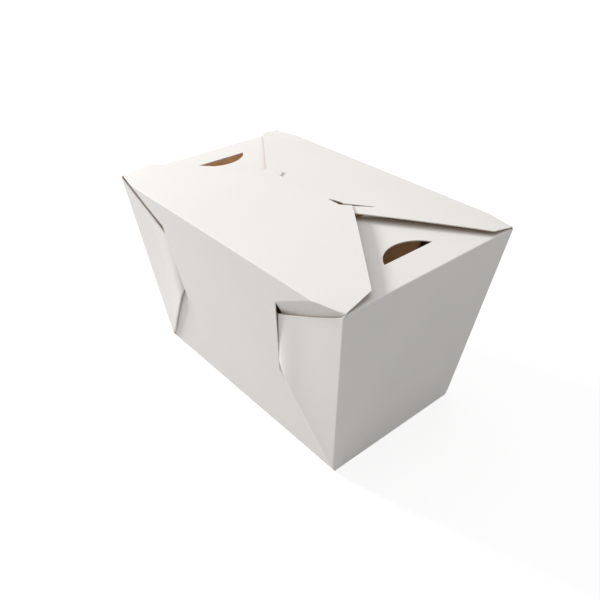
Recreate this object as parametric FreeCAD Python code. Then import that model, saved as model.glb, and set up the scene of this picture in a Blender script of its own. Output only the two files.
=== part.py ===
import FreeCAD, Part
import math
import os
from FreeCAD import Vector

# A folded takeout food box with sloping walls, made from one die-cut sheet of card.
# Origin at the middle of the base, on the surface that the box stands on.
# +X runs along the box, the front long wall faces -Y, +Z is up. Sizes are millimetres.

# The card, and the air between two layers of it that lie on each other
card = 0.45
layer_gap = 0.10

# The tub: base and rim over the outer faces of the walls
base_length = 130.0
base_width = 75.0
rim_length = 155.4
rim_width = 102.0           # across the two long creases
corner_width = 95.5         # across the rim's corners, where the ears pull the long walls in
crease_turn = 13.5          # from a rim corner to the place where the long crease turns in to it
rim_height = 95.0

# The web corners: each is folded double into an ear, whose tip is tucked into a slit
slit_inset = 35.0           # from the corner edge to the slit, along the wall
slit_low = 42.5             # ends of the slit, measured up the long wall's slope
slit_high = 83.0
slit_cut = 0.2              # width of the die's cut
ear_drop = 0.9              # ear's top below the rim, at the corner
ear_height_at_slit = 78.5   # height of the ear's top edge where it enters the slit
ear_tip = 11.0              # how far the ear reaches past the slit, inside the box
ear_foot = 3.0              # lowest point of the ear above the base corner
fold_margin = 0.3           # from an ear's edge to the fold of the wall beside it

# The end flaps, which are folded in first, and their half-moon vents
end_crease_drop = 0.7       # end crease below the long creases
end_flap_rise = 0.6
end_flap_reach = 48.0
end_flap_margin = 0.4       # from the flap's side to the long wall, at the crease
end_flap_taper = 0.45       # side of the flap moves in by this for each millimetre of reach
vent_setback = 14.2         # from the end crease to the vent's straight edge
vent_half_chord = 14.0
vent_depth = 8.0

# The back flap, which lies on the end flaps, and its lock slit
flap_end_margin = 0.4       # from a long flap's end to the rim corner
back_mid_y = 20.0           # a point half way along the flap's bow, and its rise over the rim
back_mid_rise = 2.5
back_edge_y = -6.0          # the flap's free edge, under the front flap
back_edge_rise = 3.0
back_side_lean = 1.7        # the flap's side ends this far inside the rim's length
back_side_depth = 10.8      # and this far in from the rim corner, where the slanting edge begins
back_edge_half_length = 17.0
lock_y = 3.5                # front edge of the slit's straight part
lock_width = 2.0
lock_half_length = 20.3
lock_flare_reach = 10.7     # how far each end of the slit runs outwards and back, at 45 degrees
lock_flare_width = 0.7

# The front flap, which lies on top and locks the box with its tongue
hinge_gap = 0.05
front_mid_y = -22.0
front_mid_rise = 2.5        # underside
front_end_rise = 3.2        # underside, where the tongue turns down
front_side_lean = 2.7
front_side_depth = 14.8
front_tip_half_length = 23.5
front_tip_y = 8.0
tongue_half_length = 19.6
tongue_start = 0.3          # tongue's root in front of the slit's edge
tongue_end_y = 13.0
tongue_drop = 1.25          # height that the tongue loses as it passes the slit, at 45 degrees
tongue_fall = 0.3           # further fall from the slit to the tongue's end

# Worked out from the sizes above
long_run = (rim_width - base_width) / 2
corner_run = (corner_width - base_width) / 2
end_run = (rim_length - base_length) / 2
long_slope = math.hypot(long_run, rim_height)
end_slope = math.hypot(end_run, rim_height)
end_lean = math.atan2(corner_run, end_slope)
ear_thickness = 2 * card + 2 * layer_gap
press_depth = ear_thickness + card + layer_gap
front_top = rim_height - card - hinge_gap
end_crease_height = rim_height - end_crease_drop
end_top = end_slope * end_crease_height / rim_height
rim_y = rim_width / 2
corner_rim_y = corner_width / 2
turn_x = rim_length / 2 - crease_turn
far = 200.0

CENTRE = Vector(0, 0, 0)
X, Y, Z = Vector(1, 0, 0), Vector(0, 1, 0), Vector(0, 0, 1)


def placed_on(origin, along, upward):
    """Placement that takes local x, y and z to along, upward and their cross product."""
    outward = along.cross(upward)
    return FreeCAD.Placement(FreeCAD.Matrix(
        along.x, upward.x, outward.x, origin.x,
        along.y, upward.y, outward.y, origin.y,
        along.z, upward.z, outward.z, origin.z,
        0, 0, 0, 1))


def moved(shape, placement):
    copy = shape.copy()
    copy.transformShape(placement.toMatrix(), True)
    return copy


def prism(points, sweep):
    """Solid swept from a flat polygon."""
    return Part.Face(Part.makePolygon(points + [points[0]])).extrude(sweep)


def outline_prism(half_outline, low, high):
    """Upright prism from the +X half of an outline that is mirrored at X = 0."""
    points = half_outline + [(-x, y) for x, y in reversed(half_outline)]
    return prism([Vector(x, y, low) for x, y in points], Vector(0, 0, high - low))


def bowed_sheet(start, middle, end, thickness):
    """Sheet profile between two like arcs, the second one moved down by the thickness."""
    down = Vector(0, 0, -thickness)
    upper = Part.Arc(start, middle, end).toShape()
    lower = Part.Arc(end + down, middle + down, start + down).toShape()
    return Part.Face(Part.Wire([
        upper, Part.makeLine(end, end + down), lower, Part.makeLine(start + down, start)]))


long_wall_place = placed_on(
    Vector(0, -base_width / 2, 0), X, Vector(0, -long_run, rim_height) / long_slope)
end_wall_place = placed_on(
    Vector(base_length / 2, 0, 0), Y, Vector(end_run, 0, rim_height) / end_slope)


def on_corner(height):
    """Point of the front right corner edge, in the long wall's frame."""
    share = height / rim_height
    return long_wall_place.inverse().multVec(Vector(
        base_length / 2 + end_run * share, -base_width / 2 - corner_run * share, height))


def corner_y(slope):
    """Local x of the corner edge on the end wall, at a distance up its slope."""
    return base_width / 2 + slope * math.tan(end_lean)


foot, rim = on_corner(0), on_corner(rim_height)
corner_lean = math.atan2(rim.x - foot.x, rim.y)
half_web = (math.pi / 2 - corner_lean - end_lean) / 2


def on_slit(slope, depth=0.0):
    return Vector(foot.x + slope * math.tan(corner_lean) - slit_inset, slope, -depth)


low_end, high_end = on_slit(slit_low), on_slit(slit_high)
ear_crease_at_slit = slit_inset / (math.tan(corner_lean) + math.tan(half_web - corner_lean))
press_low = on_slit(ear_crease_at_slit - fold_margin, press_depth)
press_normal = (rim - foot).cross(press_low - foot)


def on_press(slope):
    """Point of the slit's pressed side, in the plane that the ear lies on."""
    point = on_slit(slope)
    depth = press_normal.dot(point - foot) / press_normal.z
    return point - Vector(0, 0, depth)


def long_wall(top_height):
    """Front long wall: the flat panel, and at each end the corner that is pressed in behind the ear."""
    inward = Vector(0, 0, -card)
    corner_top = on_corner(top_height)
    turn = Vector(turn_x, long_slope * top_height / rim_height, 0)
    press_high = on_press(ear_height_at_slit + fold_margin)
    facets = [
        [foot, corner_top, press_high, press_low], [foot, press_low, low_end],
        [corner_top, high_end, press_high], [corner_top, turn, high_end]]
    corner = prism(facets[0], inward).fuse([prism(facet, inward) for facet in facets[1:]])
    reach = Vector(slit_cut, 0, 0)
    cut = prism([low_end, low_end + reach, high_end + reach, high_end], Vector(0, 0, -far))
    corner = corner.cut([cut, cut.mirror(CENTRE, Z)])
    right_side = [foot, low_end, high_end, turn]
    left_side = [Vector(-point.x, point.y, point.z) for point in reversed(right_side)]
    panel = prism(right_side + left_side, inward)
    return moved(panel.fuse([corner, corner.mirror(CENTRE, X)]), long_wall_place)


def end_wall():
    """Right end wall, as wide as the ears that its sides fold into."""
    proud = ear_thickness / math.cos(end_lean)
    right_side = [
        Vector(base_width / 2, 0, 0),
        Vector(corner_y(ear_foot) + proud, ear_foot, 0),
        Vector(corner_y(end_top) + proud, end_top, 0)]
    left_side = [Vector(-point.x, point.y, point.z) for point in reversed(right_side)]
    return moved(prism(right_side + left_side, Vector(0, 0, -card)), end_wall_place)


up_corner = (rim - foot).normalize()
to_slit = press_low - foot - up_corner * up_corner.dot(press_low - foot)
slit_distance = to_slit.Length
to_slit.normalize()
ear_place = long_wall_place.multiply(placed_on(foot, up_corner, to_slit))


def ear():
    """Front right ear: two leaves and the round fold along the web's diagonal crease."""
    fold = (2 * card + layer_gap) / 2
    bend = layer_gap / 2
    axis = layer_gap + fold
    corners = {
        "outer": [Vector(0, far, layer_gap), Vector(0, fold, layer_gap),
                  Vector(0, 0, axis), Vector(0, fold, axis + fold), Vector(0, far, axis + fold)],
        "inner": [Vector(0, far, axis + bend), Vector(0, fold, axis + bend),
                  Vector(0, fold - bend, axis), Vector(0, fold, axis - bend), Vector(0, far, axis - bend)]}
    edges = []
    for start, before, peak, after, stop in corners.values():
        edges += [Part.makeLine(start, before), Part.Arc(before, peak, after).toShape(),
                  Part.makeLine(after, stop)]
    outer, inner = corners["outer"], corners["inner"]
    edges.insert(3, Part.makeLine(outer[-1], inner[0]))
    edges.append(Part.makeLine(inner[-1], outer[0]))
    sheet = Part.Face(Part.Wire(edges)).extrude(Vector(far, 0, 0))
    crease = Vector(math.cos(half_web), math.sin(half_web), 0)
    toward_corner = Vector(math.sin(half_web), -math.cos(half_web), 0)
    sheet = moved(sheet.mirror(CENTRE, X), placed_on(CENTRE, crease * -1, toward_corner))
    top = (rim - foot).Length - ear_drop
    at_slit = on_press(ear_height_at_slit) - foot
    fall = (top - up_corner.dot(at_slit)) / slit_distance
    tip = slit_distance + ear_tip
    side = card / 2
    outline = prism([
        Vector(ear_foot, side, -far), Vector(top - fall * side, side, -far),
        Vector(top - fall * tip, tip, -far), Vector(0, tip, -far), Vector(0, ear_foot, -far),
        Vector(ear_foot, ear_foot, -far)], Vector(0, 0, 2 * far))
    return moved(sheet.common(outline), ear_place)


def corner_band(low, high, near, deep):
    """Bar along the front right corner edge, in the end wall's frame.

    low and high are its ends up the slope, near and deep its two depths behind the wall's face.
    """
    outside = layer_gap + card
    inside = card
    band = prism([
        Vector(-corner_y(low) + inside, low, -near), Vector(-corner_y(high) + inside, high, -near),
        Vector(-corner_y(high) - outside, high, -near), Vector(-corner_y(low) - outside, low, -near)],
        Vector(0, 0, near - deep))
    return moved(band, end_wall_place)


def end_flap():
    """Right end flap with its half-moon vent."""
    crease_x = base_length / 2 + end_run * end_crease_height / rim_height
    reach_x = crease_x - end_flap_reach
    top_height = end_crease_height + end_flap_rise
    start = Vector(crease_x, -far, end_crease_height)
    middle = Vector((crease_x + reach_x) / 2, -far, end_crease_height + end_flap_rise * 0.75)
    sheet = bowed_sheet(start, middle, Vector(reach_x, -far, top_height), card).extrude(Y * 2 * far)
    half_width = corner_y(end_top) - card - end_flap_margin
    end_half_width = half_width - end_flap_taper * end_flap_reach
    outline = prism([
        Vector(crease_x, -half_width, 0), Vector(crease_x, half_width, 0),
        Vector(reach_x, end_half_width, 0), Vector(reach_x, -end_half_width, 0)], Z * far)
    vent_x = crease_x - vent_setback
    ends = [Vector(vent_x, side * vent_half_chord, 0) for side in (-1, 1)]
    bulge = Part.Arc(ends[0], Vector(vent_x - vent_depth, 0, 0), ends[1]).toShape()
    vent = Part.Face(Part.Wire([bulge, Part.makeLine(ends[1], ends[0])])).extrude(Z * far)
    return sheet.common(outline).cut(vent)


def lock_slit():
    """The lock slit's cut: a straight part, and a narrow flare at each end."""
    straight = prism([
        Vector(x, y, 0) for x, y in (
            (-lock_half_length, lock_y), (lock_half_length, lock_y),
            (lock_half_length, lock_y + lock_width), (-lock_half_length, lock_y + lock_width))], Z * far)
    start = Vector(lock_half_length, lock_y, 0)
    stop = start + Vector(lock_flare_reach, lock_flare_reach, 0)
    across = Vector(-lock_flare_width, lock_flare_width, 0)
    flare = prism([start - X * lock_flare_width, start, stop, stop + across], Z * far)
    return straight.fuse([flare, flare.mirror(CENTRE, X)])


def back_flap():
    """Back flap, bowed up a little, with the lock slit."""
    sheet = bowed_sheet(
        Vector(-far, rim_y, rim_height), Vector(-far, back_mid_y, rim_height + back_mid_rise),
        Vector(-far, back_edge_y, rim_height + back_edge_rise), card).extrude(X * 2 * far)
    outline = outline_prism([
        (turn_x, rim_y), (rim_length / 2 - flap_end_margin, corner_rim_y),
        (rim_length / 2 - back_side_lean, corner_rim_y - back_side_depth),
        (back_edge_half_length, back_edge_y)], 0, far)
    return sheet.common(outline).cut(lock_slit())


def box_body():
    base = Part.makeBox(base_length, base_width, card, Vector(-base_length / 2, -base_width / 2, 0))
    ends = [end_wall(), end_flap()]
    ears = [ear(), corner_band(ear_foot, end_top - ear_drop, card + layer_gap, 2 * card + layer_gap)]
    gaps = [corner_band(ear_foot, end_top + 1, card, card + layer_gap)]
    for pieces in (ears, gaps):
        pieces += [piece.mirror(CENTRE, X) for piece in pieces]
        pieces += [piece.mirror(CENTRE, Y) for piece in pieces]
    walls = long_wall(front_top).fuse(long_wall(rim_height).mirror(CENTRE, Y)).cut(gaps)
    ends += [piece.mirror(CENTRE, X) for piece in ends]
    return base.fuse([walls] + ends + ears + [back_flap()]).removeSplitter()


def front_flap():
    """Front flap: a bowed lid with two slanting shoulders, and the tongue through the slit."""
    root_y = lock_y + 0.1
    crease = Vector(0, -rim_y, rim_height - card)
    end_height = rim_height + front_end_rise
    root = Vector(0, root_y, end_height)
    drop = Vector(0, root_y + tongue_drop, end_height - tongue_drop)
    tip = Vector(0, tongue_end_y, drop.z - tongue_fall)
    up = Vector(0, 0, card)
    bend = Vector(0, card * math.tan(math.pi / 8), card)
    level = Vector(0, front_tip_y + 1, end_height)
    middle = Vector(0, front_mid_y, rim_height + front_mid_rise)
    under = Part.Arc(crease, middle, root).toShape()
    over = Part.Arc(root + up, middle + up, crease + up).toShape()

    def swept(stops):
        lines = [Part.makeLine(start, stop) for start, stop in zip(stops, stops[1:])]
        face = Part.Face(Part.Wire([under] + lines + [over, Part.makeLine(crease + up, crease)]))
        return moved(face, FreeCAD.Placement(Vector(-far, 0, 0), FreeCAD.Rotation())).extrude(X * 2 * far)

    lid_outline = outline_prism([
        (turn_x, -rim_y), (rim_length / 2 - flap_end_margin, -corner_rim_y),
        (rim_length / 2 - front_side_lean, -corner_rim_y + front_side_depth),
        (front_tip_half_length, front_tip_y), (lock_half_length, lock_y + 1.3),
        (lock_half_length, lock_y - tongue_start), (0, lock_y - tongue_start)], 0, far)
    tongue_outline = outline_prism([
        (tongue_half_length, lock_y - tongue_start), (tongue_half_length, tongue_end_y)], 0, far)
    lid = swept([root, level, level + up, root + up]).common(lid_outline)
    tongue = swept([root, drop, tip, tip + up, drop + bend, root + bend, root + up]).common(tongue_outline)
    return lid.fuse(tongue).removeSplitter()


os.makedirs("parts", exist_ok=True)
for name, shape in (("box_body", box_body()), ("front_flap", front_flap())):
    assert shape.isValid() and len(shape.Solids) == 1, name
    shape.Solids[0].exportStep("parts/" + name + ".step")
    box = shape.BoundBox
    print(name, "volume", round(shape.Volume, 1), "faces", len(shape.Faces),
          "x", round(box.XMin, 2), round(box.XMax, 2), "y", round(box.YMin, 2), round(box.YMax, 2),
          "z", round(box.ZMin, 2), round(box.ZMax, 2))
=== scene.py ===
# %% [markdown]
# # A folded takeout box
# The real box is one die-cut sheet of card, white and coated outside and brown inside. Its
# walls and ears are folded up, and its flaps are folded in one after the other. The packed
# frame gives the sizes and the one moving body, the front flap. Everything here is drawn
# round that frame, so that nothing has to be fitted afterwards.

# %% Load the frame
import math
import bmesh
import bpy
from mathutils import Matrix, Vector


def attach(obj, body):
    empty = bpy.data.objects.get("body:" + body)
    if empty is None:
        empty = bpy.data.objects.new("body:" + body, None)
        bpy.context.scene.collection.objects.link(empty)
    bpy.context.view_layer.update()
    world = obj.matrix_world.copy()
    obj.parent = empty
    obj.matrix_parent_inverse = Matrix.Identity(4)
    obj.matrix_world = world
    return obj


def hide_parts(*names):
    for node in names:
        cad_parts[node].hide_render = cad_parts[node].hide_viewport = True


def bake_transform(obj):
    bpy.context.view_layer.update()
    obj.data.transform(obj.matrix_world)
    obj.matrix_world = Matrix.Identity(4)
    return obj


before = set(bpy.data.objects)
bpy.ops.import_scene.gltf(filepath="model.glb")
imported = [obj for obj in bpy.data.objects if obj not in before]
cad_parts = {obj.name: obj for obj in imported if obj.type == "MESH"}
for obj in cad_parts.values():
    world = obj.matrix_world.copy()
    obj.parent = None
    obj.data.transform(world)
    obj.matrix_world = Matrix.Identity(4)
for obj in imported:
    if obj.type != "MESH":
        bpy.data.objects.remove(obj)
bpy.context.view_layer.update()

# %% [markdown]
# ## The card and the tub's sizes
# A carton maker writes a box down as a few lengths on the sheet. They could be read off the
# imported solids, but the same few lengths place every panel here too, and they are easier to
# change. They are in millimetres, and a mesh is scaled to metres when it is made.

# %% Sizes of the card and the tub
MM = 0.001
CARD = 0.45                     # thickness of the board
LAYER_GAP = 0.10                # air between two layers that lie on each other
BASE_X, BASE_Y = 65.0, 37.5     # half of the base
RIM_X, RIM_Y, RIM_Z = 77.7, 51.0, 95.0      # half of the rim, and its height
CORNER_Y = 47.75                # the rim's corners lie nearer to the middle than its creases
TURN_X = RIM_X - 13.5           # from here the long crease turns in to the corner
CREASE_ROW = 0.6                # distance of the extra row of points that holds a crease
print("base", 2 * BASE_X, "x", 2 * BASE_Y, "mm, rim", 2 * RIM_X, "x", 2 * RIM_Y, "mm")

# %% Frame of the front long wall
wall_slope = math.hypot(RIM_Y - BASE_Y, RIM_Z)
wall_up = Vector((0, -(RIM_Y - BASE_Y), RIM_Z)) / wall_slope
wall_out = Vector((1, 0, 0)).cross(wall_up)
print("long wall", round(wall_slope, 2), "mm up its slope")


def on_wall(along, up, out=0.0):
    """Point of the front long wall: along the box, up the slope, and out from the panel."""
    return Vector((along, -BASE_Y, 0)) + wall_up * up + wall_out * out


# %% [markdown]
# ## A sheet from patches
# A folded sheet is flat panels and narrow bends. It could be drawn flat and folded up with
# bones, but a coarse net of four-sided patches is easier to steer. It has extra rows close
# beside each crease, and a subdivision surface rounds the crease by the distance of those rows.

# %% Net of patches
SAME_POINT = 0.004              # corners of a face that lie closer than this are one corner


def line(start, stop, shares):
    """Points between two points, at the given shares of the way."""
    return [start.lerp(stop, share) for share in shares]


def lay(net, rows):
    """Adds a grid of points to the net. Points that coincide make triangles."""
    grid = [[net.verts.new(point) for point in row] for row in rows]
    for low, high in zip(grid, grid[1:]):
        for a, b, c, d in zip(low, low[1:], high[1:], high):
            corners = []
            for corner in (a, b, c, d):
                if all((corner.co - other.co).length > SAME_POINT for other in corners):
                    corners.append(corner)
            if len(corners) > 2:
                net.faces.new(corners)


# %% Mirrored grids
def mirrored(rows, axis):
    """The same grid on the other side of the box."""
    flip = Vector([-1 if index == axis else 1 for index in range(3)])
    return [[point * flip for point in row] for row in rows]


def both_sides(half_row):
    """A whole row from its +X half, whose first point lies in the middle."""
    flip = Vector((-1, 1, 1))
    return [point * flip for point in reversed(half_row[1:])] + list(half_row)


# %% [markdown]
# ## From a net to a piece of card
# Solidify gives the net the thickness of the board, inwards from the printed face. Two copies
# of the net would do too, but Solidify also closes the cut edge and tells the three faces
# apart, so each gets its own finish. Openings are cut last, and their edges show the core.

# %% Modifiers to a plain mesh
SHARP_ANGLE = math.radians(35)  # two faces that meet at more than this have a sharp edge
CORNER_TRIM = 0.4               # length at a rim corner in which the card is pressed flat
CORNER_LIFT = 0.05              # how far it still stands over the corner there


def flatten(sheet, cutters=()):
    """Turns the modifiers' result into the object's own mesh, with its rim corners pressed flat."""
    graph = bpy.context.evaluated_depsgraph_get()
    result = bpy.data.meshes.new_from_object(sheet.evaluated_get(graph))
    sheet.modifiers.clear()
    sheet.data = result
    for cutter in cutters:
        bpy.data.objects.remove(cutter)
    result.shade_smooth()
    result.set_sharp_from_angle(angle=SHARP_ANGLE)
    for vertex in result.vertices:
        vertex.co.x = max(-RIM_X * MM, min(RIM_X * MM, vertex.co.x))
        if abs(vertex.co.x) > (RIM_X - CORNER_TRIM) * MM:
            vertex.co.z = min(vertex.co.z, (RIM_Z + CORNER_LIFT) * MM)
    reach = [round(max(abs(vertex.co[axis]) for vertex in result.vertices) / MM, 2) for axis in range(3)]
    print(sheet.name, len(result.polygons), "faces, reach", reach, "mm")
    return sheet


# %% Card from a net
WELD_DISTANCE = 0.012           # points of two patches that lie closer than this are joined
ROUNDING_LEVELS = 2


def face_outwards(net, probe, outward):
    """Turns all faces the same way, so that the one nearest to the probe looks outwards."""
    bmesh.ops.recalc_face_normals(net, faces=net.faces)
    nearest = min(net.faces, key=lambda face: (face.calc_center_median() - probe).length)
    if nearest.normal.dot(outward) < 0:
        bmesh.ops.reverse_faces(net, faces=net.faces)


def new_object(name, net):
    """Object from a net in millimetres."""
    bmesh.ops.scale(net, vec=(MM, MM, MM), verts=net.verts)
    mesh = bpy.data.meshes.new(name)
    net.to_mesh(mesh)
    net.free()
    made = bpy.data.objects.new(name, mesh)
    bpy.context.scene.collection.objects.link(made)
    return made


def card_sheet(name, net, probe, outward, cutters=()):
    """Rounds the creases of a net, gives it the card's thickness and cuts its openings."""
    bmesh.ops.remove_doubles(net, verts=net.verts, dist=WELD_DISTANCE)
    face_outwards(net, probe, outward)
    sheet = new_object(name, net)
    for finish in CARD_FINISHES:
        sheet.data.materials.append(finish)
    rounding = sheet.modifiers.new("creases", "SUBSURF")
    rounding.levels = rounding.render_levels = ROUNDING_LEVELS
    rounding.boundary_smooth = "PRESERVE_CORNERS"
    board = sheet.modifiers.new("card", "SOLIDIFY")
    board.thickness = CARD * MM
    board.offset = -1
    board.use_even_offset = True
    board.material_offset = CARD_FINISHES.index(brown_face)
    board.material_offset_rim = CARD_FINISHES.index(cut_edge)
    for cutter in cutters:
        cut = sheet.modifiers.new("die cut", "BOOLEAN")
        cut.operation = "DIFFERENCE"
        cut.solver = "EXACT"
        cut.object = cutter
    return flatten(sheet, cutters)


# %% [markdown]
# ## Card finishes
# A folding board has three finishes: the coated white face, the brown kraft face and the pale
# cut edge. Each could be a picture, but noise on Object coordinates needs no unwrapping and
# has the same grain on every panel. A small class keeps the calls for its nodes short.

# %% A finish and its nodes
class Finish:
    """A material on a Principled shader, with short calls for its nodes."""

    def __init__(self, name, rough, specular):
        self.material = bpy.data.materials.new(name)
        self.material.use_nodes = True
        self.tree = self.material.node_tree
        self.shader = self.tree.nodes["Principled BSDF"]
        self.shader.inputs["Roughness"].default_value = rough
        self.shader.inputs["Specular IOR Level"].default_value = specular
        self.place = self.tree.nodes.new("ShaderNodeTexCoord").outputs["Object"]

    def node(self, kind, links=(), **settings):
        made = self.tree.nodes.new(kind)
        for key, value in settings.items():
            if key in made.inputs:
                made.inputs[key].default_value = value
            else:
                setattr(made, key, value)
        for socket, source in dict(links).items():
            self.tree.links.new(source, made.inputs[socket])
        return made

    def noise(self, scale, detail, stretch=None):
        place = self.place
        if stretch:
            mapping = self.node("ShaderNodeMapping", {"Vector": place}, Scale=stretch)
            place = mapping.outputs["Vector"]
        return self.node("ShaderNodeTexNoise", {"Vector": place}, Scale=scale, Detail=detail).outputs["Fac"]

    def ramp(self, source, low, high, start=0.35, stop=0.65):
        made = self.node("ShaderNodeValToRGB", {"Fac": source})
        ends = made.color_ramp.elements
        ends[0].position, ends[1].position = start, stop
        ends[0].color, ends[1].color = (*low, 1), (*high, 1)
        return made.outputs["Color"]

    def multiply(self, first, second, amount):
        made = self.node("ShaderNodeMix", data_type="RGBA", blend_type="MULTIPLY")
        made.inputs["Factor"].default_value = amount
        self.tree.links.new(first, made.inputs["A"])
        self.tree.links.new(second, made.inputs["B"])
        return made.outputs["Result"]

    def bump(self, source, strength, depth, under=None):
        links = {"Height": source}
        if under:
            links["Normal"] = under
        return self.node("ShaderNodeBump", links, Strength=strength, Distance=depth).outputs["Normal"]

    def finish(self, colour, normal):
        self.tree.links.new(colour, self.shader.inputs["Base Color"])
        self.tree.links.new(normal, self.shader.inputs["Normal"])
        print("finish", self.material.name, "with", len(self.tree.nodes), "nodes")
        return self.material


# %% [markdown]
# ## The coated white face
# The outer face is clay-coated: matte, warm white and nearly even. A single colour would look
# like plastic, so two close whites drift into each other, with faint flecks and a very low
# bump. Anything stronger would look like plaster.

# %% Coated white face
WHITE_DIM, WHITE_BRIGHT = (0.842, 0.818, 0.786), (0.858, 0.832, 0.798)
FLECK_TINT, NO_TINT = (0.965, 0.96, 0.95), (1, 1, 1)


def coated_white():
    card = Finish("coated_white_card", rough=0.52, specular=0.22)
    cloud = card.ramp(card.noise(scale=28, detail=2), WHITE_DIM, WHITE_BRIGHT)
    fleck = card.ramp(card.noise(scale=1900, detail=2), FLECK_TINT, NO_TINT, start=0.28, stop=0.5)
    colour = card.multiply(cloud, fleck, amount=0.6)
    grain = card.bump(card.noise(scale=1400, detail=4), strength=0.10, depth=0.00004)
    waves = card.bump(card.noise(scale=120, detail=3), strength=0.12, depth=0.00025, under=grain)
    return card.finish(colour, waves)


white_face = coated_white()

# %% [markdown]
# ## The brown kraft face
# The inner face is uncoated pulp with short fibres. Thin card lets a little light through,
# which is why the inside of a closed box glows brown in its vents. A lamp inside would be a
# cheat that other views show, so a short subsurface radius carries the light instead.

# %% Brown kraft face
PULP_DARK, PULP_LIGHT = (0.42, 0.265, 0.135), (0.455, 0.29, 0.15)
FIBRE_DARK, FIBRE_LIGHT = (0.88, 0.86, 0.83), (1.04, 1.03, 1.02)
FIBRE_STRETCH = (0.6, 1, 0.8)   # fibres lie mostly along the box
LIGHT_REACH = 0.002             # metres that light spreads in the card


def brown_kraft():
    kraft = Finish("brown_kraft_face", rough=0.85, specular=0.2)
    pulp = kraft.ramp(kraft.noise(scale=90, detail=4), PULP_DARK, PULP_LIGHT)
    strands = kraft.noise(scale=1500, detail=4, stretch=FIBRE_STRETCH)
    fibre = kraft.ramp(strands, FIBRE_DARK, FIBRE_LIGHT, start=0.3, stop=0.7)
    colour = kraft.multiply(pulp, fibre, amount=0.8)
    kraft.shader.inputs["Subsurface Weight"].default_value = 1.0
    kraft.shader.inputs["Subsurface Radius"].default_value = (1.0, 0.95, 0.9)
    kraft.shader.inputs["Subsurface Scale"].default_value = LIGHT_REACH
    grain = kraft.noise(scale=1300, detail=4, stretch=FIBRE_STRETCH)
    return kraft.finish(colour, kraft.bump(grain, strength=0.3, depth=0.00005))


brown_face = brown_kraft()

# %% [markdown]
# ## The cut edge
# The knife leaves a rough, pale edge between the two faces. It is too thin for a drawn core,
# so it is one dry, uneven tone.

# %% Pale cut edge
EDGE_DARK, EDGE_LIGHT = (0.72, 0.66, 0.58), (0.84, 0.79, 0.73)


def pale_edge():
    edge = Finish("pale_cut_edge", rough=0.9, specular=0.15)
    colour = edge.ramp(edge.noise(scale=1500, detail=3), EDGE_DARK, EDGE_LIGHT)
    return edge.finish(colour, edge.bump(edge.noise(scale=2500, detail=3), strength=0.4, depth=0.00005))


cut_edge = pale_edge()
CARD_FINISHES = [white_face, brown_face, cut_edge]

# %% [markdown]
# ## The pressed-in corners of a long wall
# Each ear is tucked by its tip into a slit, and the wall beside the slit gives way by the
# thickness of the ear. A cloth simulation could find that shape, but not the same one each
# time. It is drawn as a few shallow facets: the plane that the ear lies on, a narrow step
# under the ear's diagonal fold, one over its top edge, and a turned-in piece of rim above.

# %% Corner sizes
SLIT_INSET = 35.0               # distance of the slit from the corner edge
SLIT_LOW, SLIT_HIGH = 42.5, 83.0    # ends of the slit, up the wall's slope
SLIT_CUT = 0.2                  # width of the cut
EAR_AT_SLIT = 75.7              # height at which the ear's top edge meets the slit
FOLD_MARGIN = 0.3               # how far the pressed plane goes on past the ear
PRESS_CURVE = 10                # how late the wall gives way along the ear's fold
EAR_THICKNESS = 2 * CARD + 2 * LAYER_GAP
PRESS_DEPTH = EAR_THICKNESS + CARD + LAYER_GAP
print("an ear is", round(EAR_THICKNESS, 2), "mm thick, the wall gives way by", round(PRESS_DEPTH, 2), "mm")

# %% Angles at a corner
foot = Vector((BASE_X, 0, 0))   # points of the wall's own frame: along, up and out
rim_offset = Vector((RIM_X, -CORNER_Y, RIM_Z)) - Vector((0, -BASE_Y, 0))
rim_corner = Vector((rim_offset.x, rim_offset.dot(wall_up), rim_offset.dot(wall_out)))
corner_lean = math.atan2(rim_corner.x - foot.x, rim_corner.y)
end_slope = math.hypot(RIM_X - BASE_X, RIM_Z)
end_lean = math.atan2(CORNER_Y - BASE_Y, end_slope)
half_web = (math.pi / 2 - corner_lean - end_lean) / 2
ear_crease_at_slit = SLIT_INSET / (math.tan(corner_lean) + math.tan(half_web - corner_lean))
print("corner edge leans", round(math.degrees(corner_lean), 2), "degrees, web folds at",
      round(math.degrees(half_web), 2))


# %% Slit and pressed plane
def on_slit(up, out=0.0, cut=0.0):
    """Point of the slit, in the wall's own frame."""
    return Vector((foot.x + up * math.tan(corner_lean) - SLIT_INSET + cut, up, out))


low_end, high_end = on_slit(SLIT_LOW), on_slit(SLIT_HIGH)
press_low = on_slit(ear_crease_at_slit - FOLD_MARGIN, -PRESS_DEPTH, SLIT_CUT)
press_normal = (rim_corner - foot).cross(on_slit(ear_crease_at_slit - FOLD_MARGIN, -PRESS_DEPTH) - foot)


def on_press(up):
    """Point of the slit's pressed side, in the plane that the ear lies on."""
    point = on_slit(up)
    return point - Vector((0, 0, press_normal.dot(point - foot) / press_normal.z))


press_high = on_press(EAR_AT_SLIT + FOLD_MARGIN) + Vector((SLIT_CUT, 0, 0))
turn = Vector((TURN_X, wall_slope, 0))
print("wall pressed in by", round(-press_low.z, 2), "and", round(-press_high.z, 2), "mm at the slit")

# %% [markdown]
# ## The long walls
# The net's rows run from the base up the slit to the rim. The shares say where they lie on
# each stretch, and the close ones beside 0 and 1 hold a crease. One wall could be cut out of
# a plane, but shared rows let wall, corner and flap join without a seam.

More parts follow.
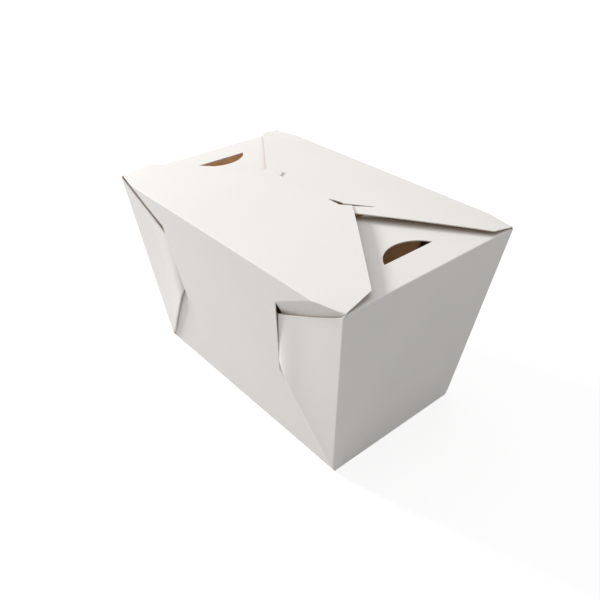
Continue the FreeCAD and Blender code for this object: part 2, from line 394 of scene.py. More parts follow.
# %% Shares of a long wall
RIM_CUT, RIM_HOLD = 0.9064, 0.954   # where the front panel ends below the rim, and a row above it
BROW_CUT = 0.975                # where its corners end, to which the lid is not joined
FOOT_SHARES = (0, 0.014, 0.08, 0.2, 0.35, 0.5, 0.65, 0.8, 0.93, 1)
SLIT_SHARES = (0, 0.05, 0.2, 0.4, 0.6, 0.8, 0.95, 1)
RIM_SHARES = (0, 0.1, 0.5, RIM_CUT, RIM_HOLD, 1)
FAN_SHARES = (0, 0.05, 0.3, 0.6, 0.89, 0.99, 1)
STEP_SHARES = (0, 0.2, 0.8, 1)
PRESS_SHARES = (0, 0.03, 0.2, 0.4, 0.6, 0.8, 0.97, 1)
ACROSS = (0, 0.1, 0.2, 0.3, 0.42, 0.54, 0.66, 0.78, 0.9, 0.977, 1)
EDGE_LOWER, EDGE_UPPER = 0.5, 0.84  # shares of the corner edge beside the slit's two ends


def placed(rows):
    """Grid of wall-frame points set on the front wall."""
    return [[on_wall(*point) for point in row] for row in rows]


def joined(*stretches):
    """One run of points from several that share their ends."""
    run = list(stretches[0])
    for stretch in stretches[1:]:
        run += stretch[1:]
    return run


# %% Corner of a long wall
def under_ear_fold(stop):
    """Line from the foot that stays near the wall's plane, then goes down to the slit's pressed side."""
    return [Vector((*foot.lerp(stop, share).xy, stop.z * share ** PRESS_CURVE)) for share in FOOT_SHARES]


def wall_corner(brow_shares):
    """Grids of the right corner of the front wall: lower step, pressed plane, upper step and brow."""
    lower_step = [under_ear_fold(low_end.lerp(press_low, share)) for share in STEP_SHARES]
    inner = joined(under_ear_fold(press_low), line(press_low, press_high, SLIT_SHARES),
                   line(press_high, rim_corner, FAN_SHARES))
    lower, upper = foot.lerp(rim_corner, EDGE_LOWER), foot.lerp(rim_corner, EDGE_UPPER)
    outer = joined(line(foot, lower, FOOT_SHARES), line(lower, upper, SLIT_SHARES),
                   line(upper, rim_corner, FAN_SHARES))
    press = [line(start, stop, PRESS_SHARES) for start, stop in zip(inner, outer)]
    upper_step = [line(press_high.lerp(high_end, share), rim_corner, FAN_SHARES) for share in STEP_SHARES]
    brow = [line(high_end.lerp(turn, share), rim_corner, FAN_SHARES) for share in brow_shares]
    return [placed(rows) for rows in (lower_step, press, upper_step, brow)]


# %% Patches of a long wall
def long_wall(stop=1.0):
    """Grids of the front long wall, up to a share of the stretch between slit and rim."""
    shares = [share for share in RIM_SHARES if share <= stop]
    side = joined(line(foot, low_end, FOOT_SHARES), line(low_end, high_end, SLIT_SHARES),
                  line(high_end, turn, shares))
    panel = [both_sides([Vector((point.x * share, point.y, 0)) for share in ACROSS]) for point in side]
    corner = wall_corner(shares if stop == 1 else [*shares, BROW_CUT])
    return [placed(panel)] + corner + [mirrored(rows, 0) for rows in corner]


# %% [markdown]
# ## The back flap
# It folds in second and lies on the end flaps, bowed up a little because the creases bulge.
# A bend modifier would bow it evenly, but its ends have to meet the turned-in creases. So each
# row of points lies on one arc, and the rows follow the flap's outline to its free edge.

# %% Arc of a bowed flap
def bow(points):
    """Height over y of the arc through three (y, z) points."""
    (y1, z1), (y2, z2), (y3, z3) = points
    scale = 2 * (y1 * (z2 - z3) + y2 * (z3 - z1) + y3 * (z1 - z2))
    square = [y * y + z * z for y, z in points]
    centre_y = (square[0] * (z2 - z3) + square[1] * (z3 - z1) + square[2] * (z1 - z2)) / scale
    centre_z = (square[0] * (y3 - y2) + square[1] * (y1 - y3) + square[2] * (y2 - y1)) / scale
    radius = math.hypot(y1 - centre_y, z1 - centre_z)
    return lambda y: centre_z + math.sqrt(max(radius * radius - (y - centre_y) ** 2, 0))


# %% Rows of a long flap
CREASE_FADE = 15                # distance from the crease in which its turned ends are felt


def crease_y(x):
    """Distance of the long crease from the middle: straight, then turned in to the corner."""
    return RIM_Y - (RIM_Y - CORNER_Y) * max(0, abs(x) - TURN_X) / (RIM_X - TURN_X)


def crease_shift(x, y):
    """What is added to y on the arc, so that the crease's turned ends are no higher than its middle."""
    crease = crease_y(min(x, RIM_X))
    return (RIM_Y - crease) * max(0, 1 - (crease - y) / CREASE_FADE)


def flap_row(height, middle_y, end_y, places, columns, side=1):
    """Half a row of a long flap: straight, then bent to its end. The front flap's side is -1."""
    row = []
    for x, column in zip(places, columns):
        bend = max(0, column - TURN_X / RIM_X) / (1 - TURN_X / RIM_X)
        y = middle_y + (end_y - middle_y) * bend
        row.append(Vector((x, side * y, height(y + crease_shift(x, y)))))
    return row


# %% Outline of the back flap
BACK_COLUMNS = [share * TURN_X / RIM_X for share in ACROSS]
BACK_COLUMNS += [(TURN_X + (RIM_X - TURN_X) * share) / RIM_X for share in FAN_SHARES[1:]]
BACK_SIDE = ((RIM_Y, RIM_X, CORNER_Y), (RIM_Y - CREASE_ROW, 77.3, CORNER_Y - CREASE_ROW),
             (47.2, 76.9, 44.5), (42.5, 76.5, 41.0), (37.5, 76.06, 37.5))
BACK_SHOULDER, BACK_END = Vector((76.0, 36.95)), Vector((17.0, -6.0))
BACK_EDGE_SHARES = (0, 0.014, 0.1, 0.2, 0.3, 0.4, 0.5, 0.6, 0.7, 0.8, 0.9, 0.985, 1)
back_height = bow(((RIM_Y, RIM_Z), (20, RIM_Z + 2.5), (-6, RIM_Z + 3.0)))

back_rows = list(BACK_SIDE)     # of each row: y in the middle, x at the end and y at the end
for point in line(BACK_SHOULDER, BACK_END, BACK_EDGE_SHARES):
    back_rows.append((point.y, point.x, point.y))
back_flap = []
for middle_y, end_x, end_y in back_rows:
    places = [end_x * column for column in BACK_COLUMNS]
    back_flap.append(both_sides(flap_row(back_height, middle_y, end_y, places, BACK_COLUMNS)))
print("back flap", len(back_flap), "rows of", len(back_flap[0]), "points")

# %% [markdown]
# ## Cutting the lock slit and the vents
# A die cuts the openings through the flat sheet. Holes could be left in the net, but round
# ones would need many more rows. An upright prism of the same outline is taken out of the
# finished card instead.

# %% Die shapes
DIE_LOW = 90                    # height at which every die starts, under the flaps


def die(name, outline, high):
    """Upright cutter with the given outline, in millimetres."""
    net = bmesh.new()
    face = net.faces.new([net.verts.new((x, y, DIE_LOW)) for x, y in outline])
    swept = bmesh.ops.extrude_face_region(net, geom=[face])
    corners = [item for item in swept["geom"] if isinstance(item, bmesh.types.BMVert)]
    bmesh.ops.translate(net, vec=(0, 0, high - DIE_LOW), verts=corners)
    bmesh.ops.recalc_face_normals(net, faces=net.faces)
    cutter = new_object(name, net)
    cutter.data.materials.append(cut_edge)
    print(name, "with", len(outline), "corners")
    return cutter


# %% Outline of the lock slit
LOCK_X, LOCK_Y = 20.3, 3.5      # half of the slit's straight edge, and its distance from the middle
FLARE_REACH = 10.7              # how far a flare runs out on the slant at each end
FLARE_LEFT, FLARE_RIGHT = 0.05, (0.4, 0.3)  # widths of the flares at their tips
LEFT_START = 0.15               # the slit starts this far inside its left end
LEFT_NOTCH = (0.1, 0.12)        # where the left flare leaves the slit
SLIT_WIDTH, WEDGE_WIDTH = 1.0, 3.0      # of the slit, and of its open right end
WEDGE_FROM, WEDGE_TO = 10.5, 18.5       # the slit widens between these
LOCK_DIE_HIGH = 105
lock_outline = [
    (-LOCK_X - FLARE_REACH, LOCK_Y + FLARE_REACH), (-LOCK_X + LEFT_START, LOCK_Y), (LOCK_X, LOCK_Y),
    (LOCK_X + FLARE_REACH, LOCK_Y + FLARE_REACH),
    (LOCK_X + FLARE_REACH - FLARE_RIGHT[0], LOCK_Y + FLARE_REACH + FLARE_RIGHT[1]),
    (LOCK_X, LOCK_Y + WEDGE_WIDTH), (WEDGE_TO, LOCK_Y + WEDGE_WIDTH), (WEDGE_FROM, LOCK_Y + SLIT_WIDTH),
    (-LOCK_X + LEFT_START, LOCK_Y + SLIT_WIDTH), (-LOCK_X + LEFT_NOTCH[0], LOCK_Y + LEFT_NOTCH[1]),
    (-LOCK_X - FLARE_REACH - FLARE_LEFT, LOCK_Y + FLARE_REACH + FLARE_LEFT)]
lock_die = die("lock_slit_die", lock_outline, LOCK_DIE_HIGH)

# %% [markdown]
# ## The tub
# Base, long walls and back flap are one run of card, so they are one net. The front wall stops
# below its rim: the lid's sheet begins there, because a crease that bends has to belong to
# the moving piece.

# %% Tub: base, long walls and back flap
tub_net = bmesh.new()
base_columns = both_sides([Vector((share, 0, 0)) for share in ACROSS])
base_rows = []
for y in (-BASE_Y, -BASE_Y + CREASE_ROW, -28, -14, 0, 14, 28, BASE_Y - CREASE_ROW, BASE_Y):
    reach = BASE_X if abs(y) == BASE_Y else BASE_X - CREASE_ROW
    base_rows.append([Vector((column.x * reach, y, 0)) for column in base_columns])
lay(tub_net, base_rows)
for rows in long_wall(RIM_CUT):
    lay(tub_net, rows)
for rows in long_wall():
    lay(tub_net, mirrored(rows, 1))
lay(tub_net, back_flap)
tub = card_sheet("folded_tub", tub_net, Vector((0, 0, 0)), Vector((0, 0, -1)), [lock_die])

# %% [markdown]
# ## The end walls with their ears and flaps
# Each end wall wraps round its two corners as the ears, which are folded double along the
# web's diagonal, and turns in at the top as the end flap. One piece for all of it keeps the
# corner edge whole, where two pieces would show a gap.

# %% Frame of the right end wall
EAR_FOOT = 3.0                  # height up the slope at which the ear starts
END_CREASE_Z = RIM_Z - 0.7      # the end flap's crease lies a little under the rim
PROUD = EAR_THICKNESS / math.cos(end_lean)  # how far the wall reaches past the corner, over the ear
end_up = Vector((RIM_X - BASE_X, 0, RIM_Z)) / end_slope
end_out = Vector((0, 1, 0)).cross(end_up)
end_top = end_slope * END_CREASE_Z / RIM_Z
print("end wall", round(end_top, 2), "mm up its slope")


def on_end(across, up):
    """Point of the right end wall."""
    return Vector((BASE_X, across, 0)) + end_up * up


def end_half(up):
    """Half the width of the end wall at a distance up its slope."""
    return BASE_Y + up * math.tan(end_lean) + PROUD * min(1, up / EAR_FOOT)


# %% Frame of the front right ear
EAR_DROP = 0.9                  # how far the ear's top edge lies under the rim's corner
EAR_SAG = 1.1                   # how far that edge sags between corner and slit
corner_foot = on_wall(*foot)
corner_up = (on_wall(*rim_corner) - corner_foot).normalized()
to_press = on_wall(*on_press(ear_crease_at_slit - FOLD_MARGIN)) - corner_foot
to_slit = to_press - corner_up * corner_up.dot(to_press)
slit_distance = to_slit.length
to_slit.normalize()
ear_out = corner_up.cross(to_slit)
ear_top = (rim_corner - foot).length - EAR_DROP
at_slit = on_wall(*on_press(EAR_AT_SLIT)) - corner_foot
ear_fall = (ear_top - corner_up.dot(at_slit)) / slit_distance
print("ear", round(slit_distance, 2), "mm from its corner to the slit")


def on_ear(up, across, out):
    """Point of the ear: up the corner edge, across towards the slit, and out."""
    return corner_foot + corner_up * up + to_slit * across + ear_out * out


def ear_low(across):
    """Height of the ear's diagonal fold."""
    return max(EAR_FOOT, across / math.tan(half_web))


def ear_high(across):
    """Height of the ear's top edge, which falls and sags towards the slit."""
    share = across / slit_distance
    return ear_top - ear_fall * across - 4 * EAR_SAG * share * (1 - share)


# %% [markdown]
# The ear is the most skilful part of the box. Its two leaves lie on a wall that gives way
# only near the slit, so the fold stands a little proud before it dives in. A lift over the
# ear's plane says that in one number for each point of both leaves.

# %% Lift and columns of an ear
FOLD_SLACK, SLACK_FADE = 0.3, 1.5   # how far the fold stands proud, and how fast that fades upwards
SLIT_FLUSH = 0.5                # the ear lies this much higher just before the slit
FLUSH_FROM, FLUSH_LENGTH = 19, 12
DIVE_FROM, DIVE_LENGTH = 0.15, 0.95     # it dives in from just before the slit, over this length


def ear_lift(across, share):
    """How far an ear stands off the plane behind it: over its fold, and beside the slit."""
    along = min(1, across / slit_distance)
    over_wall = PRESS_DEPTH * (along - along ** PRESS_CURVE)
    over_fold = (over_wall + FOLD_SLACK * math.sin(math.pi * along)) * (1 - share) ** SLACK_FADE
    to_slit_edge = max(0, min(1, (across - FLUSH_FROM) / FLUSH_LENGTH))
    past_slit = max(0, min(1, (across - slit_distance + DIVE_FROM) / DIVE_LENGTH))
    return over_fold + SLIT_FLUSH * to_slit_edge ** 2 * (3 - 2 * to_slit_edge) * (1 - past_slit)


def ear_column(across, out, shares, short=0.0):
    """Points of a leaf from the fold to its top edge, at a distance from the corner."""
    low, high = ear_low(across), ear_high(across) - short
    return [on_ear(low + (high - low) * share, across, out + ear_lift(across, share)) for share in shares]


# %% Right end wall
END_SHARES = (0, 0.02, 0.12, 0.25, 0.4, 0.55, 0.7, 0.85, 0.985, 1)
FLAP_PLAY = 0.4                 # air between the end flap's sides and the long walls
FLAP_HALF = BASE_Y + end_top * math.tan(end_lean) - CARD - FLAP_PLAY
FLAP_COLUMNS = (0, 0.15, 0.3, 0.45, 0.6, 0.75, 0.88, FLAP_HALF / end_half(end_top))
END_COLUMNS = (*FLAP_COLUMNS, 0.988, 1)
heights = [0, CREASE_ROW] + [EAR_FOOT + (end_top - EAR_FOOT) * share for share in END_SHARES]


def end_row(up):
    """A row of the end wall at a distance up its slope."""
    half = [on_end(end_half(up) * share, up) for share in END_COLUMNS]
    flip = Vector((1, -1, 1))
    return [point * flip for point in reversed(half[1:])] + half


wrap_net = bmesh.new()
on_base = []
for point in end_row(0):
    on_base.append(Vector((BASE_X - CREASE_ROW, point.y * (BASE_Y - CREASE_ROW) / BASE_Y, 0)))
end_rows = [on_base] + [end_row(up) for up in heights]
lay(wrap_net, end_rows)
print("end wall", len(end_rows), "rows of", len(end_rows[0]), "points")

# %% Right end flap
END_FLAP_REACH, END_FLAP_TAPER = 48.0, 0.45     # its length, and how fast its sides draw in
END_FLAP_ROWS = (CREASE_ROW, 4, 9, 14, 20, 26, 33, 40, END_FLAP_REACH - CREASE_ROW, END_FLAP_REACH)
end_rise = bow(((0, 0), (END_FLAP_REACH / 2, 0.45), (END_FLAP_REACH, 0.6)))
crease_x = BASE_X + (RIM_X - BASE_X) * END_CREASE_Z / RIM_Z
flap_shares = [-share for share in reversed(FLAP_COLUMNS[1:])] + list(FLAP_COLUMNS)

flap_rows = [[on_end(0, end_top) + Vector((0, y * FLAP_HALF / FLAP_COLUMNS[-1], 0)) for y in flap_shares]]
for reach in END_FLAP_ROWS:
    half = FLAP_HALF - END_FLAP_TAPER * reach
    flap_rows.append([
        Vector((crease_x - reach, y * half / FLAP_COLUMNS[-1], END_CREASE_Z + end_rise(reach)))
        for y in flap_shares])
lay(wrap_net, flap_rows)
print("end flap", round(2 * FLAP_HALF, 2), "mm wide at its crease")

# %% Ears of the right end wall
EAR_TIP = 6.0                   # how far the ear goes on past the slit
LEAF_SHORT = 0.8                # the inner leaf ends this far below the outer one
FROM_CORNER = (0.6, 2.4, 6, 10, 14, 18, 22, 26, 30)     # columns, by their distance from the corner
FROM_SLIT = (-2, -1, -0.15, 0.3, 0.8, 1.8, 3.6, EAR_TIP)    # columns before and past the slit
ear_columns = FROM_CORNER + tuple(slit_distance + past for past in FROM_SLIT)
ear_edge = [on_end(-end_half(up), up) for up in heights[2:]]
outer_leaf = [ear_edge] + [ear_column(across, EAR_THICKNESS, END_SHARES) for across in ear_columns]
inner_leaf = []
for across in ear_columns:
    fold = ear_column(across, EAR_THICKNESS, END_SHARES[:1])
    inner_leaf.append(fold + ear_column(across, LAYER_GAP, END_SHARES, LEAF_SHORT))
for rows in (outer_leaf, inner_leaf):
    lay(wrap_net, rows)
    lay(wrap_net, mirrored(rows, 1))
print("ear", len(ear_columns), "columns, tip", EAR_TIP, "mm past the slit")

# %% Half-moon vent
VENT_SETBACK, VENT_HALF, VENT_DEPTH = 14.2, 14.0, 8.0   # from the crease, half of its width, its depth
VENT_HALF_STEPS = 12
VENT_DIE_HIGH = 98
vent_radius = (VENT_HALF ** 2 + VENT_DEPTH ** 2) / (2 * VENT_DEPTH)
vent_sweep = math.asin(VENT_HALF / vent_radius)
vent_outline = []
for step in range(2 * VENT_HALF_STEPS + 1):
    angle = vent_sweep * (step / VENT_HALF_STEPS - 1)
    vent_outline.append((
        crease_x - VENT_SETBACK - VENT_DEPTH + vent_radius - vent_radius * math.cos(angle),
        vent_radius * math.sin(angle)))
print("vent", 2 * VENT_HALF, "x", VENT_DEPTH, "mm, radius", round(vent_radius, 2))

# %% Both end walls
left_net = wrap_net.copy()
bmesh.ops.scale(left_net, vec=(-1, 1, 1), verts=left_net.verts)
to_left = Vector((-1, 1, 1))
END_PROBE = on_end(0, 40)       # a point in the middle of the end wall
end_right = card_sheet("end_wall_right", wrap_net, END_PROBE, end_out,
                       [die("right_vent_die", vent_outline, VENT_DIE_HIGH)])
end_left = card_sheet("end_wall_left", left_net, END_PROBE * to_left, end_out * to_left,
                      [die("left_vent_die", [(-x, y) for x, y in vent_outline], VENT_DIE_HIGH)])

# %% [markdown]
# ## Pressed creases inside the box
# Before a sheet is folded, a blunt rule is pressed into it along each fold, and the inner face
# rises there in a thin bead. A bead is one small round profile along a path. Geometry Nodes
# do that well, because the path and the size can change and the bead follows.

# %% Tree of the crease bead
def bead_tree():
    """Node tree that sweeps a round profile along the edges of a mesh."""
    tree = bpy.data.node_groups.new("pressed_crease_bead", "GeometryNodeTree")
    sockets = {}
    for label, kind in (("Path", "Geometry"), ("Bead radius", "Float"), ("Profile steps", "Int"),
                        ("Card finish", "Material")):
        sockets[label] = tree.interface.new_socket(label, in_out="INPUT", socket_type="NodeSocket" + kind)
    tree.interface.new_socket("Beads", in_out="OUTPUT", socket_type="NodeSocketGeometry")
    given = tree.nodes.new("NodeGroupInput")
    path = tree.nodes.new("GeometryNodeMeshToCurve")
    profile = tree.nodes.new("GeometryNodeCurvePrimitiveCircle")
    sweep = tree.nodes.new("GeometryNodeCurveToMesh")
    sweep.inputs["Fill Caps"].default_value = True
    real = tree.nodes.new("GeometryNodeRealizeInstances")
    coat = tree.nodes.new("GeometryNodeSetMaterial")
    made = tree.nodes.new("NodeGroupOutput")
    for source, target in (
            (given.outputs["Path"], path.inputs["Mesh"]),
            (given.outputs["Bead radius"], profile.inputs["Radius"]),
            (given.outputs["Profile steps"], profile.inputs["Resolution"]),
            (path.outputs["Curve"], sweep.inputs["Curve"]),
            (profile.outputs["Curve"], sweep.inputs["Profile Curve"]),
            (sweep.outputs["Mesh"], real.inputs["Geometry"]),
            (real.outputs["Geometry"], coat.inputs["Geometry"]),
            (given.outputs["Card finish"], coat.inputs["Material"]),
            (coat.outputs["Geometry"], made.inputs["Beads"])):
        tree.links.new(source, target)
    return tree, sockets


# %% Paths of the beads
BEAD_INSET = 0.5                # distance of a bead from its crease
BEAD_SHORT = 1                  # a flap's bead stops this far before the flap's side
SQUARE = ((-1, -1), (1, -1), (1, 1), (-1, 1))
base_path = [(x * (BASE_X - BEAD_INSET), y * (BASE_Y - BEAD_INSET), CARD) for x, y in SQUARE]
flap_paths = [(x * (crease_x - BEAD_INSET), y * (FLAP_HALF - BEAD_SHORT), END_CREASE_Z - BEAD_INSET)
              for x in (-1, 1) for y in (-1, 1)]
path_mesh = bpy.data.meshes.new("crease_paths")
path_mesh.from_pydata([Vector(point) * MM for point in base_path + flap_paths],
                      [(0, 1), (1, 2), (2, 3), (3, 0), (4, 5), (6, 7)], [])
print("bead paths", len(path_mesh.edges), "edges")

# %% Beads along the base and the end flaps
BEAD_RADIUS = 0.3
BEAD_STEPS = 12
beads = bpy.data.objects.new("crease_beads", path_mesh)
bpy.context.scene.collection.objects.link(beads)
tree, sockets = bead_tree()
sweep = beads.modifiers.new("bead", "NODES")
sweep.node_group = tree
sweep[sockets["Bead radius"].identifier] = BEAD_RADIUS * MM
sweep[sockets["Profile steps"].identifier] = BEAD_STEPS
sweep[sockets["Card finish"].identifier] = brown_face
flatten(beads)

# %% [markdown]
# ## The front flap
# The lid closes last. Its sheet begins just under the front crease, so that the crease bends
# with the flap, and ends in the tongue that goes down through the lock slit. It could start
# on the crease itself, but then the joint would open as a slot when the lid turns.

# %% Columns of the front flap
TONGUE_X, TONGUE_RIGHT = 20.1, 14.0     # the tongue's left and right ends
LID_INNER = (0, 5, 10, 15, TONGUE_X, LOCK_X)    # columns that run on into the tongue
LID_OUTER = (28, 36, 44, 53, TURN_X - 1.5, TURN_X)  # columns of the straight crease beside it
lid_columns = [x / RIM_X for x in LID_INNER + LID_OUTER]
STRAIGHT = len(lid_columns)
lid_columns += [(TURN_X + (RIM_X - TURN_X) * share) / RIM_X for share in FAN_SHARES[1:]]
front_height = bow(((RIM_Y, RIM_Z), (22, RIM_Z + 2.95), (-3.6, RIM_Z + 3.65)))
print("front flap rises to", round(front_height(0), 2), "mm in its middle")


def lid_row(middle_y, end_x, end_y):
    """Half a row of the lid, whose inner columns stay at the tongue's width."""
    places = list(LID_INNER)
    for column in lid_columns[len(LID_INNER):]:
        share = (column * RIM_X - LOCK_X) / (RIM_X - LOCK_X)
        places.append(LOCK_X + (end_x - LOCK_X) * share)
    return flap_row(front_height, middle_y, end_y, places, lid_columns, side=-1)


# %% [markdown]
# Between the ears the lid and the wall are one sheet. At its two ends the crease turns in to
# the corner, off the axis that the lid turns on, and a joined sheet would tear there. So a thin
# lip lies loose on the wall's brow and moves with the lid.

# %% Crease strip and lips
LIP_ROWS = ((0.962, 0.03), (0.98, 0.015), (1, 0))   # share of the way up, and how far off the wall
LIP_DROP = 6                    # how steeply the lip's lower rows fall under the rim's corner
lid_net = bmesh.new()
strip = []
for share in (RIM_CUT, RIM_HOLD, 1):
    start = high_end.lerp(turn, share)
    half = [Vector((start.x * column * RIM_X / TURN_X, start.y, 0)) for column in lid_columns[:STRAIGHT]]
    strip.append(both_sides([on_wall(*point) for point in half]))
lay(lid_net, strip)
lip = []
for share, proud in LIP_ROWS:
    stop = rim_corner - Vector((0, (1 - share) * LIP_DROP, 0))
    lip.append([on_wall(point.x, point.y, point.z + proud)
                for point in line(high_end.lerp(turn, share), stop, FAN_SHARES)])
lay(lid_net, lip)
lay(lid_net, mirrored(lip, 0))
crease_row = both_sides(strip[-1][STRAIGHT - 1:] + lip[-1][1:])
print("front crease", len(crease_row), "points")

# %% Panel of the front flap
FRONT_SIDE = ((RIM_Y, RIM_X, CORNER_Y), (RIM_Y - CREASE_ROW, 77.3, CORNER_Y - CREASE_ROW),
              (47.2, 76.9, 45.5), (42.5, 76.5, 41.5), (38, 75.75, 38), (33.5, 75.08, 33.5))
FRONT_SHOULDER, FRONT_TIP = Vector((75.0, 32.95)), Vector((23.5, -8.0))
FRONT_EDGE_SHARES = (0, 0.014, 0.12, 0.24, 0.36, 0.48, 0.6, 0.72, 0.8, 0.86)
ROOT_Y = -3.2                   # row from which the tongue and the two tips start
lid_rows = list(FRONT_SIDE)
for point in line(FRONT_SHOULDER, FRONT_TIP, FRONT_EDGE_SHARES):
    lid_rows.append((point.y, point.x, point.y))
root_share = (FRONT_SHOULDER.y - ROOT_Y) / (FRONT_SHOULDER.y - FRONT_TIP.y)
lid_rows.append((ROOT_Y, FRONT_SHOULDER.lerp(FRONT_TIP, root_share).x, ROOT_Y))
lid_grid = [both_sides(lid_row(*row)) for row in lid_rows]
lid_grid[0] = crease_row
lay(lid_net, lid_grid)
print("front flap", len(lid_grid), "rows of", len(lid_grid[0]), "points")

# %% Tips beside the tongue
TIP_GAP = 0.08                  # air between a tip and the back flap under it
RIGHT_TIP = (3.25, 24.4, 6.95)  # y of the notch beside the tongue, then x and y of the tip
LEFT_TIP = (3.6, 23.2, 8.2)


def tip_patch(edge, notch_y, tip_x, tip_y):
    """The shoulder's end beside the tongue, down to the edge that follows the flare."""
    start_x, reach = edge[0].x, edge[-1].x - edge[0].x
    corners = []
    for x, y in ((start_x, notch_y), (tip_x, tip_y)):
        corners.append(Vector((x, y, back_height(y) + CARD + TIP_GAP)))
    ends = [corners[0].lerp(corners[1], (point.x - start_x) / reach) for point in edge]
    return [[point.lerp(end, share) for point, end in zip(edge, ends)] for share in (0, 0.5, 1)]


root_row = lid_row(*lid_rows[-1])
lay(lid_net, tip_patch(root_row[LID_INNER.index(LOCK_X):], *RIGHT_TIP))
lay(lid_net, mirrored(tip_patch(root_row[LID_INNER.index(TONGUE_X):], *LEFT_TIP), 0))

# %% Tongue through the lock slit
TONGUE_ROWS = ((3.2, 0), (3.7, 0), (4.0, 0.12), (4.9, 1.02), (5.2, 1.24), (5.8, 1.27),
               (9, 1.4), (12.5, 1.54), (13, 1.56))  # distance from the middle, and drop
TONGUE_COLUMNS = (-TONGUE_X, -15, -10, -5, 0, 5, 10, TONGUE_RIGHT)
root_z = front_height(ROOT_Y)
lay(lid_net, [[Vector((x, y, root_z - drop)) for x in TONGUE_COLUMNS] for y, drop in TONGUE_ROWS])
LID_PROBE = Vector((0, -30, 97.5))      # a point over the lid's panel
front_flap = card_sheet("front_flap_card", lid_net, LID_PROBE, Vector((0, 0, 1)))

# %% [markdown]
# ## Bodies
# The tub, the end walls and the beads stand still, so they ride on the box. The lid's sheet,
# whose strip under the crease belongs to the wall, stays where it was drawn and rides on no
# body here. The imported solids of the box and the front flap are hidden.

# %% Bodies
for piece in (tub, end_right, end_left, beads):
    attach(piece, "box")
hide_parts("box_body")
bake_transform(front_flap)
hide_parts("front_flap")
print("pieces", [piece.name for piece in (tub, end_right, end_left, beads, front_flap)])

# %% [markdown]
# ## The floor and the background
# The box stands on white paper that runs into a white background. More light would wash the
# box out, so only the rays that look at the background see it at full white, while it lights
# the box as a softer grey. Part of what they see of the floor is diffuse, which keeps the
# shadow.

# %% Seen and lit shades
def shown_rays(tree):
    """Is 1 for the rays that show the background: from the camera, off gloss and through glass."""
    path = tree.nodes.new("ShaderNodeLightPath")
    source = path.outputs["Is Camera Ray"]
    for ray in ("Is Glossy Ray", "Is Transmission Ray"):
        either = tree.nodes.new("ShaderNodeMath")
        either.operation = "MAXIMUM"
        tree.links.new(source, either.inputs[0])
        tree.links.new(path.outputs[ray], either.inputs[1])
        source = either.outputs[0]
    return source


def seen_or_lit(tree, seen, lit, output):
    """Gives the output one shader for the rays that show the background, and one for the rest."""
    choice = tree.nodes.new("ShaderNodeMixShader")
    result = tree.nodes.new(output)
    tree.links.new(shown_rays(tree), choice.inputs["Fac"])
    tree.links.new(lit, choice.inputs[1])
    tree.links.new(seen, choice.inputs[2])
    tree.links.new(choice.outputs[0], result.inputs["Surface"])


def grey_shader(tree, kind, grey, strength=None):
    """A shader of one even grey."""
    made = tree.nodes.new(kind)
    made.inputs["Color"].default_value = (grey, grey, grey, 1)
    if strength is not None:
        made.inputs["Strength"].default_value = strength
    return made.outputs[0]


# %% White floor
FLOOR_HALF = 3                  # metres
FLOOR_GAP = 0.00005             # so that the base and the floor do not share one plane
BOUNCE_GREY, SHADOW_GREY, FLOOR_GLOW = 0.58, 0.30, 0.80
floor_mesh = bpy.data.meshes.new("floor")
floor_mesh.from_pydata([(x * FLOOR_HALF, y * FLOOR_HALF, -FLOOR_GAP) for x, y in SQUARE], [], [(0, 1, 2, 3)])
floor = bpy.data.objects.new("floor", floor_mesh)
bpy.context.scene.collection.objects.link(floor)
floor_material = bpy.data.materials.new("white_floor")
floor_material.use_nodes = True
floor_tree = floor_material.node_tree
floor_tree.nodes.clear()
bounce = grey_shader(floor_tree, "ShaderNodeBsdfDiffuse", BOUNCE_GREY)
shadowed = grey_shader(floor_tree, "ShaderNodeBsdfDiffuse", SHADOW_GREY)
glow = grey_shader(floor_tree, "ShaderNodeEmission", 1, FLOOR_GLOW)
paper_white = floor_tree.nodes.new("ShaderNodeAddShader")
floor_tree.links.new(shadowed, paper_white.inputs[0])
floor_tree.links.new(glow, paper_white.inputs[1])
seen_or_lit(floor_tree, paper_white.outputs[0], bounce, "ShaderNodeOutputMaterial")
floor_mesh.materials.append(floor_material)
print("floor", 2 * FLOOR_HALF, "m wide")

# %% White studio
SKY_STRENGTH = 0.50             # light of the white walls round the box
scene = bpy.context.scene
scene.view_settings.view_transform = "Standard"
world = bpy.data.worlds.new("studio")
scene.world = world
world.use_nodes = True
studio = world.node_tree
studio.nodes.clear()
walls = grey_shader(studio, "ShaderNodeBackground", 1, SKY_STRENGTH)
seen_white = grey_shader(studio, "ShaderNodeBackground", 1, 1)
seen_or_lit(studio, seen_white, walls, "ShaderNodeOutputWorld")
print("studio light", SKY_STRENGTH)

# %% [markdown]
# ## The lamps
# The long front wall and the lid are bright, and the end wall lies in shade. A sun would cut
# hard shadows, so a square lamp stands low on the left for the sides and a large weak one hangs
# over the lid.

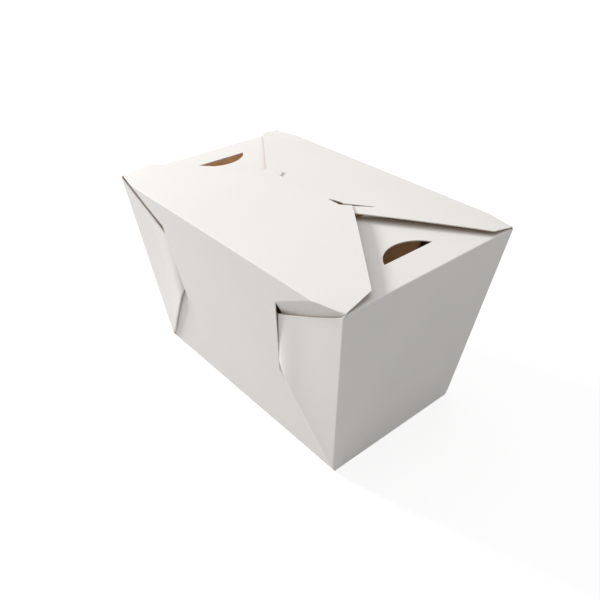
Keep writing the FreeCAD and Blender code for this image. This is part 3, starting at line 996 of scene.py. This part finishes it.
# %% Lamps
def lamp(name, place, target, size, power):
    """Square lamp that looks at a target, in metres and watts."""
    light = bpy.data.lights.new(name, "AREA")
    light.shape = "SQUARE"
    light.size = size
    light.energy = power
    holder = bpy.data.objects.new(name, light)
    holder.location = place
    direction = Vector(target) - Vector(place)
    holder.rotation_euler = direction.to_track_quat("-Z", "Y").to_euler()
    scene.collection.objects.link(holder)
    print("lamp", name, "at", round(direction.length, 2), "m")


lamp("key", place=(-1.32, -0.43, 0.62), target=(0, 0, 0.06), size=0.30, power=24)
lamp("overhead", place=(-0.2, 0.3, 1.4), target=(0, 0, 0.09), size=0.9, power=2.8)

# %% [markdown]
# ## The camera
# The camera's place follows from the corners of the box and its known lengths. It could be
# turned by hand until the picture fits, but two angles, a roll and a distance that are fitted
# together put every corner within a few pixels.

# %% Camera
PICTURE_PIXELS, SENSOR = 600, 36
FOCAL_PIXELS = 650.3            # focal length, measured in the picture's pixels
CAM_AZ, CAM_EL, CAM_ROLL = math.radians(49.43), math.radians(33.98), math.radians(-0.16)
CAM_DISTANCE, CAM_RIGHT, CAM_UP = 344.5, -1.2, 33.4
back = Vector((math.sin(CAM_AZ) * math.cos(CAM_EL), -math.cos(CAM_AZ) * math.cos(CAM_EL), math.sin(CAM_EL)))
side = Vector((math.cos(CAM_AZ), math.sin(CAM_AZ), 0))
up = back.cross(side)
right = side * math.cos(CAM_ROLL) + up * math.sin(CAM_ROLL)
upright = up * math.cos(CAM_ROLL) - side * math.sin(CAM_ROLL)
camera_data = bpy.data.cameras.new("camera")
camera_data.sensor_width = SENSOR
camera_data.lens = FOCAL_PIXELS / PICTURE_PIXELS * SENSOR
camera_data.clip_start = 0.01
camera = bpy.data.objects.new("camera", camera_data)
scene.collection.objects.link(camera)
place = (back * CAM_DISTANCE + right * CAM_RIGHT + upright * CAM_UP) * MM
turned = Matrix((right, upright, back)).transposed().to_4x4()
camera.matrix_world = Matrix.Translation(place) @ turned
scene.camera = camera
print("camera lens", round(camera_data.lens, 2), "mm at", [round(value, 3) for value in place], "m")
